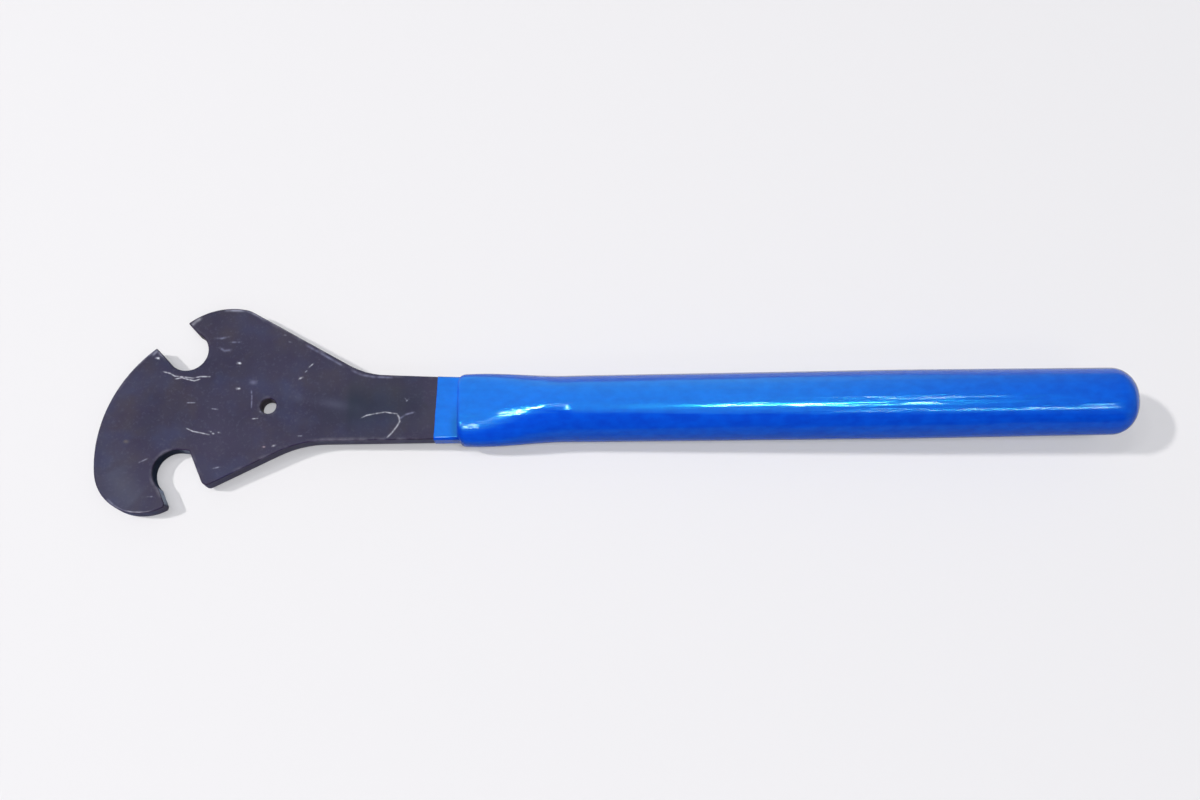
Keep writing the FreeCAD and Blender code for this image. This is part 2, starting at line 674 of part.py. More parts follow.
def tang_cover(body):
    """The thin end of the vinyl on the tang, with its leaning edge."""
    sketch = new_sketch(body, "tang_cover", "XY_Plane")
    front, lean, back = now("dip_reach"), now("dip_slant"), now("mouth_reach")
    slope = "((tang_rise_front - tang_rise_back) / (mouth_reach - upper_slope_reach))"
    high = f"(tang_rise_back + {slope} * (mouth_reach - dip_reach) + skin_on_tang)"
    high_end = "(tang_rise_back + skin_on_tang)"
    low = "(-tang_fall - skin_on_tang)"
    bottom = line(sketch, (front - lean, now(low)), (back, now(low)))
    end = line(sketch, (back, now(low)), (back, now(high_end)))
    top = line(sketch, (back, now(high_end)), (front + lean, now(high)))
    edge = line(sketch, (front + lean, now(high)), (front - lean, now(low)))
    loop = [bottom, end, top, edge, bottom]
    for first, second in zip(loop, loop[1:]):
        join(sketch, first, second)
    place(sketch, bottom, 1, x="dip_reach - dip_slant", y=low)
    place(sketch, end, 1, x="mouth_reach", y=low)
    place(sketch, top, 1, x="mouth_reach", y=high_end)
    place(sketch, edge, 1, x="dip_reach + dip_slant", y=high)
    return pad(body, sketch, "tang_cover_pad", "plate_thickness + 2 * skin_on_tang")


def lip_edges(shape):
    """The names of the edges round the front face of the vinyl, before the tube's mouth."""
    lip = now("mouth_reach - skin_on_mouth")
    fronts = [face for face in shape.Faces
              if face.BoundBox.XLength < TOLERANCE and abs(face.BoundBox.Center.x - lip) < TOLERANCE]
    rim = max(fronts, key=lambda face: face.BoundBox.YLength).OuterWire.Edges
    return [f"Edge{number}" for number, edge in enumerate(shape.Edges, start=1)
            if any(edge.isSame(other) for other in rim)]


def make_grip(head):
    body = new_body("grip_skin")
    flat_to_round(body, True, "skin", "skin_at_mouth", "skin_at_round", "skin_on_mouth",
                  straight=False)
    revolve(body, grip_profile(body), "Revolution", "round_grip")
    cover = tang_cover(body)
    lip = body.newObject("PartDesign::Fillet", "lip")
    lip.Base = (cover, lip_edges(cover.Shape))
    bind(lip, "Radius", "lip_round")
    cut_by(body, lip)
    flat_to_round(body, False, "room_for_mouth", "0", "0")
    room = new_sketch(body, "room_for_tube", "XZ_Plane")
    stepped_profile(room, ROUND_REACH, TUBE_END + " + plug_head", "(tube_diameter / 2)", "plug_bevel")
    revolve(body, room, "Groove", "room_for_tube_turned")

    grip = doc.addObject("Part::Cut", "grip")
    grip.Label = "grip"
    grip.Base = body
    grip.Tool = head
    return grip


head = make_head()
pieces = [head, make_handle_tube(), make_end_plug(), make_grip(head)]
doc.recompute()

for thing in doc.Objects:
    if "Invalid" in thing.State or "Error" in thing.State:
        raise RuntimeError(f"{thing.Label} has failed: {thing.State}")
for piece in pieces:
    if piece.Shape.isNull() or not piece.Shape.isValid() or len(piece.Shape.Solids) != 1:
        raise RuntimeError(f"{piece.Label} is not one valid solid")

os.makedirs("parts", exist_ok=True)
for piece in pieces:
    piece.Shape.exportStep(f"parts/{piece.Label}.step")
    box = piece.Shape.BoundBox
    print(f"{piece.Label}: {piece.Shape.Volume:.0f} mm3, X {box.XMin:.2f} to {box.XMax:.2f},"
          f" Y {box.YMin:.2f} to {box.YMax:.2f}, Z {box.ZMin:.2f} to {box.ZMax:.2f}")
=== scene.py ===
import json
import math

import bmesh
import bpy
import numpy as np
from mathutils import Euler, Matrix, Vector, geometry, noise


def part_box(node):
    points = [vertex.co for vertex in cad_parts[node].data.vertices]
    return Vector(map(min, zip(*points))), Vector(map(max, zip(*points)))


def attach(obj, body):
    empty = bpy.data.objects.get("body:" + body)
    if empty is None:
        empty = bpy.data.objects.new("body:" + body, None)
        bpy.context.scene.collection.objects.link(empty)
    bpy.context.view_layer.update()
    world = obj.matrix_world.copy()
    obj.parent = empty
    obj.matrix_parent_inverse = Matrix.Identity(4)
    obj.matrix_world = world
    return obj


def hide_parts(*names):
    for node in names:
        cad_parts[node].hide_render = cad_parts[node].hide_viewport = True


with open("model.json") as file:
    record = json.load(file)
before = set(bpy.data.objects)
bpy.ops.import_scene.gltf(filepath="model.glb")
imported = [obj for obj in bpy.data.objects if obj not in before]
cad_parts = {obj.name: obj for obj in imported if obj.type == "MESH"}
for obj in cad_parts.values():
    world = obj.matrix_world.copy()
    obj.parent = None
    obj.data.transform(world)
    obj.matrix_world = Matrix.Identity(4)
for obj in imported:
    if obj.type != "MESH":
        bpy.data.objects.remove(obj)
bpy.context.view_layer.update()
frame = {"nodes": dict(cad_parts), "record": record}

# A pedal wrench on a pale floor. The head is the plate's own mesh with finer faces, marks and
# worn edges. The grip is a closed mesh of rings in place of the vinyl skin. Lengths are in
# metres where nothing else is said.

MM = 0.001

# The photograph's frame and the camera that took it
IMAGE_WIDTH = 1200
IMAGE_HEIGHT = 800
FOCAL_PIXELS = 1200
SENSOR_WIDTH = 36
CAMERA_PLACE = Vector((-13.87, -139.79, 449.19)) * MM
CAMERA_TURN = [math.radians(angle) for angle in (18.004, -0.454, -1.012)]

# Places that the frame gives
TUBE_LOW, TUBE_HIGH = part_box("handle_tube")
HEAD_LOW, HEAD_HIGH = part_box("head")
GRIP_LOW, GRIP_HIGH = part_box("grip")
PLUG_LOW, PLUG_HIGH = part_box("end_plug")
HANDLE_Y = (PLUG_LOW.y + PLUG_HIGH.y) / 2
AXIS_HEIGHT = (TUBE_LOW.z + TUBE_HIGH.z) / 2
MOUTH = TUBE_LOW.x
PLATE_TOP = HEAD_HIGH.z
PLATE_BOTTOM = HEAD_LOW.z


# Shared helpers

def smooth(share):
    """An even step from 0 to 1."""
    share = np.clip(share, 0, 1)
    return share * share * (3 - 2 * share)


def new_object(name, verts, faces):
    mesh = bpy.data.meshes.new(name)
    mesh.from_pydata([tuple(v) for v in verts], [], faces)
    mesh.validate()
    piece = bpy.data.objects.new(name, mesh)
    bpy.context.scene.collection.objects.link(piece)
    return piece


def add_attribute(mesh, name, kind, domain, values):
    made = mesh.attributes.new(name, kind, domain)
    made.data.foreach_set("color" if kind == "FLOAT_COLOR" else "value", values)


# Camera

def make_camera():
    data = bpy.data.cameras.new("camera")
    data.sensor_fit = "HORIZONTAL"
    data.sensor_width = SENSOR_WIDTH
    data.lens = SENSOR_WIDTH * FOCAL_PIXELS / IMAGE_WIDTH
    data.clip_start = 0.01
    camera = bpy.data.objects.new("camera", data)
    camera.location = CAMERA_PLACE
    camera.rotation_euler = CAMERA_TURN
    bpy.context.scene.collection.objects.link(camera)
    bpy.context.scene.camera = camera


def pixel_on_plate(x, y):
    """The point of the plate's upper face that a pixel of the photograph shows."""
    ray = Vector((x - IMAGE_WIDTH / 2, IMAGE_HEIGHT / 2 - y, -FOCAL_PIXELS))
    ray.rotate(Euler(CAMERA_TURN))
    reach = (PLATE_TOP - CAMERA_PLACE.z) / ray.z
    return CAMERA_PLACE + ray * reach


# The vinyl grip, all in millimetres from the mouth of the tube and from the handle's axis
TUBE_DIAMETER = (TUBE_HIGH.z - TUBE_LOW.z) / MM
GRIP_LENGTH = (GRIP_HIGH.x - MOUTH) / MM
FLAT_THICKNESS = 10.1
FLATNESS = 0.9
LAND = 5.0
CHANGE_LENGTH = 37.0
CHANGE_END = LAND + CHANGE_LENGTH
CHANGE_EASE = 1.06
SWELL = 168.6
LIP_REACH = 1.2
SKIN_STOPS = (-LIP_REACH, 0, CHANGE_END, SWELL, GRIP_LENGTH)
SKINS = (1.9, 1.9, 3.15, 3.7, 3.3)
TAIL_ROUND = 9.2
TAIL_DOME = 26.0

# The lip in front of the mouth: it stands back at both sides, over a hollow in the thin cover
LIP_ROUND = 1.8
LIP_SWEEP = 2.2
LIP_HALF_WIDTH = 14
LIP_SWEEP_POWER = 7
STEP_HOLLOW = 0.9
FOOT_SHARE = 0.22
RISE_SHARE = 0.40

# Painted shade: where the vinyl is coloured darker in the hollow before the lip
HOLLOW_REACH = 1.7
HOLLOW_START = 0.35
HOLLOW_FADE = 12

# The thin cover on the tang and its uneven front edge
COVER_LENGTH = 9.65
COVER_SLANT = 0.55
COVER_SLANT_WIDTH = 13
COVER_HALF_HEIGHT = 3.35
COVER_TOP_FRONT = 13.1
COVER_TOP_BACK = 12.65
COVER_BOTTOM = -12.35
COVER_CORNER = 1.3
COVER_EDGE_ROUND = 0.32
WAVE_HEIGHT = 0.16
WAVE_SCALE = (0.22, 0.3)
WAVE_PLACE = 3.1

# Points to a quarter of a ring, and rings to each stretch of the grip
AROUND = 40
EDGE_RINGS = 6
COVER_RINGS = 14
HOLLOW_RINGS = 8
RISE_RINGS = 4
LIP_RINGS = 10
CHANGE_RINGS = 40
LIP_BLEND_RINGS = 6
PAST_CHANGE = 4
ROUND_RINGS = 120
TAIL_RINGS = 18
DOME_RINGS = 10


def rounded_section(top, bottom, half_height, corner):
    """Points round a rounded rectangle, AROUND of them to each quarter."""
    spots = []
    corner = min(corner, half_height, (top - bottom) / 2)
    centres = [(top - corner, half_height - corner), (bottom + corner, half_height - corner),
               (bottom + corner, corner - half_height), (top - corner, corner - half_height)]
    half = AROUND // 2
    for quarter, (cy, cz) in enumerate(centres):
        next_y, next_z = centres[(quarter + 1) % 4]
        for step in range(half):
            turn = math.radians(90 * quarter + 90 * step / half)
            ny, nz = math.cos(turn), math.sin(turn)
            spots.append((cy + corner * ny, cz + corner * nz))
        turn = math.radians(90 * (quarter + 1))
        ny, nz = math.cos(turn), math.sin(turn)
        for step in range(AROUND - half):
            share = step / (AROUND - half)
            y = cy + (next_y - cy) * share
            z = cz + (next_z - cz) * share
            spots.append((y + corner * ny, z + corner * nz))
    return np.array(spots)


def grip_section(reach):
    """The pressed or round vinyl at a distance behind the mouth."""
    share = float(smooth(max(0.0, (reach - LAND) / CHANGE_LENGTH) ** CHANGE_EASE))
    thickness = FLAT_THICKNESS + share * (TUBE_DIAMETER - FLAT_THICKNESS)
    radius = thickness / 2 + float(np.interp(reach, SKIN_STOPS, SKINS))
    half_width = math.pi / 4 * (TUBE_DIAMETER - thickness) + radius
    square = 2 / (2 + FLATNESS * np.clip((CHANGE_END - reach) / CHANGE_END, 0, 1) ** 2)
    turn = 2 * math.pi * (np.arange(4 * AROUND) + AROUND / 4) / (4 * AROUND)
    across = half_width * np.sign(np.cos(turn)) * np.abs(np.cos(turn)) ** square
    up = radius * np.sign(np.sin(turn)) * np.abs(np.sin(turn)) ** square
    return np.column_stack([across, up])


def cover_section(reach, inset=0.0):
    """The thin vinyl on the tang."""
    share = -reach / COVER_LENGTH
    top = COVER_TOP_BACK + (COVER_TOP_FRONT - COVER_TOP_BACK) * share
    return rounded_section(top - inset, COVER_BOTTOM + inset, COVER_HALF_HEIGHT - inset, COVER_CORNER)


def lip_sweep(across):
    """How far the lip stands back at a distance from the axis, across the head."""
    return LIP_SWEEP * np.abs(across / LIP_HALF_WIDTH) ** LIP_SWEEP_POWER


def ring(reach, section, lean=0.0, sweep=0.0):
    """One ring of points, with a share of the slanted front edge and of the swept lip."""
    x = reach + sweep * lip_sweep(section[:, 0])
    if lean:
        places = [Vector((y * WAVE_SCALE[0], z * WAVE_SCALE[1], WAVE_PLACE)) for y, z in section]
        wave = np.array([WAVE_HEIGHT * noise.noise(place) for place in places])
        x = x + lean * (COVER_SLANT * section[:, 0] / COVER_SLANT_WIDTH + wave)
    return np.column_stack([x, section])


def cover_rings():
    """The rounded edge of the dip on the tang, and the thin cover behind it."""
    rings = []
    for step in range(EDGE_RINGS + 1):
        turn = math.radians(90 * step / EDGE_RINGS)
        inset = COVER_EDGE_ROUND * (1 - math.sin(turn))
        reach = -COVER_LENGTH + COVER_EDGE_ROUND * (1 - math.cos(turn))
        rings.append(ring(reach, cover_section(reach, inset), lean=1.0))
    front = -COVER_LENGTH + COVER_EDGE_ROUND
    back = -LIP_REACH - STEP_HOLLOW
    for step in range(1, COVER_RINGS + 1):
        share = step / COVER_RINGS
        reach = front + (back - front) * share
        lean, sweep = float(1 - smooth(share)), float(smooth(share * 2 - 1))
        rings.append(ring(reach, cover_section(reach), lean, sweep))
    return rings


def lip_rings():
    """The step up from the cover to the lip: a hollow, a rise and a round."""
    start = -LIP_REACH - STEP_HOLLOW
    path = []
    for step in range(1, HOLLOW_RINGS + 1):
        turn = math.radians(90 * step / HOLLOW_RINGS)
        path.append((start + STEP_HOLLOW * math.sin(turn), FOOT_SHARE * (1 - math.cos(turn))))
    for step in range(1, RISE_RINGS + 1):
        path.append((-LIP_REACH, FOOT_SHARE + RISE_SHARE * step / RISE_RINGS))
    risen = FOOT_SHARE + RISE_SHARE
    for step in range(1, LIP_RINGS + 1):
        turn = math.radians(90 * step / LIP_RINGS)
        reach = LIP_ROUND * (1 - math.cos(turn)) - LIP_REACH
        path.append((reach, risen + (1 - risen) * math.sin(turn)))
    cover = cover_section(start)
    mouth = grip_section(LIP_ROUND - LIP_REACH)
    return [ring(reach, cover * (1 - share) + mouth * share, sweep=1.0) for reach, share in path]


def handle_rings():
    """The pressed and the round part, the rounded tail and its dome."""
    radius = TUBE_DIAMETER / 2 + SKINS[-1]
    reach_in = math.sqrt((TAIL_DOME - TAIL_ROUND) ** 2 - (radius - TAIL_ROUND) ** 2)
    dome_x = GRIP_LENGTH - TAIL_DOME
    corner_x = dome_x + reach_in
    rings = []
    start = LIP_ROUND - LIP_REACH
    end = CHANGE_END + PAST_CHANGE
    for step in range(1, CHANGE_RINGS + 1):
        reach = start + (end - start) * step / CHANGE_RINGS
        sweep = float(1 - smooth(step / LIP_BLEND_RINGS))
        rings.append(ring(reach, grip_section(reach), sweep=sweep))
    for step in range(1, ROUND_RINGS + 1):
        reach = end + (corner_x - end) * step / ROUND_RINGS
        rings.append(ring(reach, grip_section(reach)))
    meet = math.atan2(radius - TAIL_ROUND, reach_in)
    tail = grip_section(corner_x)
    for step in range(1, TAIL_RINGS + 1):
        turn = math.pi / 2 + (meet - math.pi / 2) * step / TAIL_RINGS
        size = radius - TAIL_ROUND + TAIL_ROUND * math.sin(turn)
        rings.append(ring(corner_x + TAIL_ROUND * math.cos(turn), tail * (size / radius)))
    # The last ring of the dome stops just before its tip
    for step in range(1, DOME_RINGS + 1):
        turn = meet * (1 - step / (DOME_RINGS + 0.5))
        size = TAIL_DOME * math.sin(turn)
        rings.append(ring(dome_x + TAIL_DOME * math.cos(turn), tail * (size / radius)))
    return rings


def make_grip():
    rings = cover_rings() + lip_rings() + handle_rings()
    count = len(rings[0])
    rows = np.concatenate(rings)
    verts = (rows + np.array([MOUTH, HANDLE_Y, AXIS_HEIGHT]) / MM) * MM
    verts[:, 0] = np.maximum(verts[:, 0], GRIP_LOW.x)
    last = (len(rings) - 1) * count
    faces = []
    for base in range(0, last, count):
        for spot in range(count):
            beside = (spot + 1) % count
            faces.append((base + spot, base + beside, base + count + beside, base + count + spot))
    faces.append(tuple(reversed(range(count))))
    faces.append(tuple(last + spot for spot in range(count)))
    grip = new_object("vinyl_grip", verts, faces)
    grip.data.polygons.foreach_set("use_smooth", [True] * len(grip.data.polygons))
    # Painted shade: darker colour in the hollow before the lip, more on the lower half
    before_lip = rows[:, 0] - lip_sweep(rows[:, 1]) + LIP_REACH + STEP_HOLLOW
    lower_half = smooth(HOLLOW_START - rows[:, 1] / HOLLOW_FADE)
    hollow_shade = np.exp(-(before_lip / HOLLOW_REACH) ** 2) * lower_half
    add_attribute(grip.data, "hollow", "FLOAT", "POINT", hollow_shade)
    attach(grip, "root")
    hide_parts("grip")
    return grip


# The head: the plate's own outline with finer faces, marks and worn edges. Its lengths are in
# millimetres. ROW_GAP, JITTER and NET_GAP are shares of the grid. MARK_SHARE, MARK_ROWS and
# MARK_REACH are shares of a mark's half width.
GRID = 0.9
BACK_GRID = 1.6
ROW_GAP = 0.866
JITTER = 0.18
JITTER_SEED = 7
NET_GAP = 0.3
RIM_ROWS = (0.22, 0.55, 1.1)
RIM_STEP = 0.8
RIM_CLEARANCE = 0.15
MARK_STEP = 0.25
MARK_SHARE = 0.6
MARK_ROWS = (-2.0, -1.4, -0.9, -0.35, 0.35, 0.9, 1.4, 2.0)
MARK_REACH = 2.2
MARK_CLEARANCE = 0.06
MARK_DEPTH = 0.02
CELL = 0.06
ON_FACE = 0.01
RIM_KEPT = 0.1
SIDE_LEVELS = (0.8, 1.6, 3.0, 4.4, 5.2)
EDGE_BREAK = 0.35
RIM_WEAR = 1.1
SHARP_ANGLE = math.radians(32)

# How near two points are when they count as one height, one point or one plane, in metres, and
# as one spot of the net, in millimetres
SAME_HEIGHT = 2e-6
SAME_POINT = 1e-6
SAME_PLANE = 1e-7
SAME_SPOT = 1e-6

# The jaws' walls: limits of a face's direction, lengths in metres, and the pixel of a machined corner
# facet with a painted highlight
UPRIGHT = 0.3
FACING = 0.97
JAWS = [mount for mount in frame["record"]["mounts"] if "jaw" in mount["name"]]
JAW_HALF_OPENING = 7.55 * MM
JAW_WALL_GAP = 0.3 * MM
JAW_DEPTH = 6 * MM
JAW_MOUTH = 16 * MM
JAW_REACH = 11 * MM
LIT_JAW_CORNER = (186, 451)
CORNER_REACH = 2.6 * MM

# How a mark is stronger and weaker along its way, how a long one fades at its ends, and the least
# share of a mark that still colours a point
BREAK_LEVEL = 0.72
BREAK_SWING = 0.9
BREAK_LEAST = 0.1
BREAK_BEAT = 0.22
BREAK_BEAT_MOST = 1.1
BREAK_SPREAD = 40
LONG_MARK = 1.2
END_SHARE = 0.12
END_LEAST = 0.15
END_LEVEL = 0.45
FAINTEST = 1e-4

BRIGHT = (0.62, 0.62, 0.72)
PALE = (0.30, 0.30, 0.40)
BLUISH = (0.21, 0.21, 0.33)
PINKISH = (0.42, 0.30, 0.36)
OCHRE = (0.34, 0.27, 0.16)
DARK = (0.012, 0.010, 0.014)

# Each mark: its colour, strength, half width in millimetres and its way over the photograph.
# Later marks lie over earlier ones.
MARKS = {
    "grey face of the hook": ((0.11, 0.12, 0.18), 0.34, 7.0, ((110, 470), (120, 492), (134, 504))),
    "dark stretch of the tang": ((0.006, 0.005, 0.018), 0.9, 10.0, ((345, 405), (425, 405))),
    "long scratch under the upper jaw": (BRIGHT, 0.75, 0.20, (
        (163.1, 371.6), (170.2, 373.4), (174.8, 376.1), (182.7, 376.9), (192.8, 378.1), (200.6, 376.6),
        (210, 376.6))),
    "second scratch under the upper jaw": (BRIGHT, 0.8, 0.19, (
        (175.6, 378.9), (181.9, 377.7), (188.1, 379.4), (194.4, 380.8), (199.8, 379.2))),
    "scratch above the lower jaw": (BRIGHT, 0.75, 0.18, (
        (186.6, 428.4), (192.8, 431.3), (200.6, 432.8), (209.2, 434.7))),
    "first nick beside it": (BRIGHT, 0.9, 0.22, ((210.6, 431.6), (211.2, 431.8))),
    "second nick beside it": (BRIGHT, 0.9, 0.24, ((212.8, 433.5), (213.6, 433.7))),
    "third nick beside it": (BRIGHT, 0.9, 0.22, ((218.3, 432.4), (219.0, 432.6))),
    "dash left of the middle": (PALE, 0.8, 0.18, ((187.3, 402.7), (195.2, 402.7))),
    "dash below the middle": (PALE, 0.7, 0.2, ((211.6, 408.6), (217.8, 409.4))),
    "dash left of the hole": (BRIGHT, 0.6, 0.18, ((252.2, 418.8), (257.7, 418.4))),
    "dash near the heel": (PALE, 0.8, 0.22, ((213.1, 468.4), (218.6, 467.2))),
    "nick on the lower slope": (PALE, 0.8, 0.2, ((298.3, 435.9), (301.4, 435.9))),
    "dash below the upper slope": (BRIGHT, 0.6, 0.2, ((309.2, 367.2), (313.1, 363.8))),
    "dash at the foot of the hook": (PALE, 0.6, 0.22, ((147.5, 496.6), (152.2, 496.6))),
    "faint scratch over the hook": (PALE, 0.55, 0.22, ((138.9, 462.5), (147.5, 458.6))),
    "spot on the left point": (BRIGHT, 1.3, 0.32, ((157.8, 358.1), (158.5, 358.2))),
    "spot under the crown": (BRIGHT, 1.4, 0.3, ((239.2, 363.1), (239.8, 363.2))),
    "spot above the hole": (BRIGHT, 1.4, 0.28, ((238.7, 388.6), (239.2, 388.6))),
    "soft spot above the hole": (BLUISH, 0.6, 0.75, ((252.4, 382.3), (253.8, 382.5))),
    "rosy spot below the hole": (PINKISH, 0.8, 0.26, ((263.6, 446.9), (264.3, 446.9))),
    "pale spot below the hole": (BRIGHT, 0.9, 0.28, ((273.3, 445.8), (274, 445.6))),
    "ochre spot on the nose": (OCHRE, 0.5, 0.55, ((125.2, 441.4), (126.2, 441.5))),
    "spot beside the hole": (PALE, 0.6, 0.2, ((260.1, 411.7), (260.7, 411.8))),
    "nick right of the middle": (BRIGHT, 1.4, 0.27, ((300.2, 378.4), (301.3, 377.9))),
    "second nick right of the middle": (PALE, 0.7, 0.2, ((305.5, 371.9), (306.8, 370.8))),
    "spot on the tang": (PALE, 0.8, 0.2, ((406.6, 400.9), (407.3, 400.3))),
    "tail of the spot on the tang": (PALE, 0.4, 0.2, ((405.2, 398.4), (407, 400.6))),
    "dark dot on the lower edge": (DARK, 0.9, 0.35, ((386.1, 443.1), (386.8, 443.1))),
    "first fleck on the upper slope": (PALE, 0.6, 0.24, ((284.8, 335), (286, 335.2))),
    "second fleck on the upper slope": (PALE, 0.5, 0.24, ((289.4, 341.8), (290.6, 342.2))),
    "curved line left of the hole": (BLUISH, 0.65, 0.22, ((251.4, 390.6), (251.9, 396.9), (251.4, 407.8))),
    "first scuff under the crown": (BLUISH, 0.6, 0.34, ((217, 338.3), (222, 338.4), (229.5, 336.7))),
    "second scuff under the crown": (BLUISH, 0.55, 0.3, ((231.9, 342.2), (239.7, 342.2))),
    "third scuff under the crown": (BLUISH, 0.6, 0.4, ((221, 348.4), (224.5, 350.8), (230.3, 350))),
    "pale scratch on the tang": (BRIGHT, 0.72, 0.2, (
        (361.8, 417.6), (366.7, 415.3), (376.5, 413.4), (385, 412), (391.3, 413), (396.9, 413.7))),
    "its bend": (BRIGHT, 0.55, 0.26, (
        (396.9, 413.7), (399, 417.2), (399.7, 421.4), (396.9, 426.3), (392, 432.6), (387.1, 437.5))),
    "its branch": (BLUISH, 0.7, 0.32, ((399.7, 418.6), (406, 414.4), (413.7, 412.3))),
    "soft band before the tang": (BLUISH, 0.13, 1.9, ((295, 397), (322, 402), (360, 409))),
    "dark smudge on the tang": (DARK, 0.5, 0.8, ((425, 406), (426.4, 407.2))),
    "worn tip of the upper jaw": (BRIGHT, 0.42, 0.55, ((192.5, 325), (196, 321.5), (200.5, 318.6))),
    "worn left point": (PALE, 0.55, 0.45, ((152.5, 355.5), (158, 350.2), (162, 355.5))),
    "worn outer edge": (PALE, 0.6, 0.32, (
        (112, 397), (118, 387), (126, 377), (136, 366.5), (146, 357.6), (157, 349.5))),
    "worn lower outer edge": (PALE, 0.35, 0.3, ((97, 440), (98.5, 425), (103.5, 411), (112, 397))),
    "worn crown": (PALE, 0.7, 0.42, ((226, 310.4), (236, 310.6), (247, 311), (256, 314.6), (263, 319))),
    "worn upper slope": (BLUISH, 0.6, 0.38, (
        (307, 345.6), (316, 350.6), (325, 355.6), (334, 360.8), (344, 366.4))),
    "worn upper bend": (BLUISH, 0.5, 0.4, ((352, 370.5), (362, 375), (374, 376.8), (392, 377.6))),
    # Partly a worn edge and partly a painted highlight along the foot of the hook
    "worn foot of the hook with a painted highlight": (BRIGHT, 0.5, 0.24, ((126, 511.2), (134, 512.2), (143, 512.4), (152.5, 511))),
    "worn side of the hook": (PALE, 0.45, 0.3, (
        (107.6, 499.5), (113.6, 505.2), (120.4, 509.4), (127, 511.4))),
}


def inside(spots, loops):
    """Which spots lie inside the outermost loop and outside the others."""
    crossings = np.zeros(len(spots), int)
    x, y = spots[:, 0], spots[:, 1]
    for loop in loops:
        for (x0, y0), (x1, y1) in zip(loop, np.roll(loop, -1, axis=0)):
            spans = (y0 > y) != (y1 > y)
            with np.errstate(divide="ignore", invalid="ignore"):
                cut = x0 + (y - y0) * (x1 - x0) / (y1 - y0)
            crossings += spans & (x < cut)
    return crossings % 2 == 1


def distance_to_way(spots, way):
    """Distance from each spot to a line of points, and how far along it that is."""
    best = np.full(len(spots), 1e9)
    along = np.zeros(len(spots))
    run = 0.0
    for start, end in zip(way[:-1], way[1:]):
        step = end - start
        length = float(np.hypot(*step)) or 1e-9
        share = np.clip(((spots - start) @ step) / length ** 2, 0, 1)
        gap = np.hypot(*(spots - start - share[:, None] * step).T)
        closer = gap < best
        best[closer] = gap[closer]
        along[closer] = run + share[closer] * length
        run += length
    return best, along


def closed(rim):
    return np.vstack([rim, rim[:1]])


def off_rims(spots, rims):
    """Distance from each spot to the nearest rim."""
    return np.min([distance_to_way(spots, closed(rim))[0] for rim in rims], axis=0)


def steps_of(way):
    """Each step of a line of points: its start, the step, its length and the direction square to it."""
    for start, end in zip(way[:-1], way[1:]):
        step = end - start
        length = float(np.hypot(*step))
        yield start, step, length, np.array([-step[1], step[0]]) / length


def plate_loops(shape, height):
    """Takes the flat faces at one height out of the shape and gives their rims."""
    def level(item):
        return all(abs(v.co.z - height) < SAME_HEIGHT for v in item.verts)

    flat = [f for f in shape.faces if level(f)]
    bmesh.ops.delete(shape, geom=flat, context="FACES_ONLY")
    open_edges = [e for e in shape.edges if len(e.link_faces) == 1 and level(e)]
    loose = [e for e in shape.edges if not e.link_faces]
    bmesh.ops.delete(shape, geom=loose, context="EDGES")
    beside = {}
    for edge in open_edges:
        for vert in edge.verts:
            beside.setdefault(vert, []).append(edge.other_vert(vert))
    loops = []
    left = set(beside)
    while left:
        loop = [min(left, key=lambda v: tuple(v.co))]
        left.discard(loop[0])
        while onward := [v for v in beside[loop[-1]] if v in left]:
            loop.append(onward[0])
            left.discard(onward[0])
        loops.append(loop)
    return loops


def net_spots(rims, grid):
    """An even net of spots inside the rims, a little out of line."""
    low = np.min([rim.min(axis=0) for rim in rims], axis=0)
    high = np.max([rim.max(axis=0) for rim in rims], axis=0)
    rows = int((high[1] - low[1]) / (grid * ROW_GAP)) + 1
    columns = int((high[0] - low[0]) / grid) + 1
    spots = []
    for row in range(rows):
        x = low[0] + (np.arange(columns) + 0.5 * (row % 2)) * grid
        y = np.full(columns, low[1] + row * grid * ROW_GAP)
        spots.append(np.column_stack([x, y]))
    spots = np.concatenate(spots)
    random = np.random.default_rng(JITTER_SEED)
    spots += random.uniform(-JITTER, JITTER, spots.shape) * grid
    return spots[(off_rims(spots, rims) > RIM_ROWS[-1] + NET_GAP * grid) & inside(spots, rims)]


def rim_spots(rims):
    """Rows of spots beside each rim."""
    spots = []
    for rim in rims:
        for start, step, length, side in steps_of(closed(rim)):
            count = max(1, round(length / RIM_STEP))
            for row in RIM_ROWS:
                for index in range(count):
                    base = start + step * ((index + 0.5) / count)
                    spots += [base + side * row, base - side * row]
    spots = np.array(spots)
    return spots[(off_rims(spots, rims) > RIM_CLEARANCE) & inside(spots, rims)]


def mark_spots(rims, ways):
    """Close rows of spots along each narrow mark."""
    spots = []
    for way, half_width in ways:
        space = max(MARK_STEP, MARK_SHARE * half_width)
        for start, step, length, side in steps_of(way):
            count = max(2, round(length / space) + 1)
            for share in np.linspace(-space / length, 1 + space / length, count + 2):
                spots += [start + step * share + side * row * half_width for row in MARK_ROWS]
    spots = np.array(spots)
    return spots[(off_rims(spots, rims) > MARK_CLEARANCE) & inside(spots, rims)]


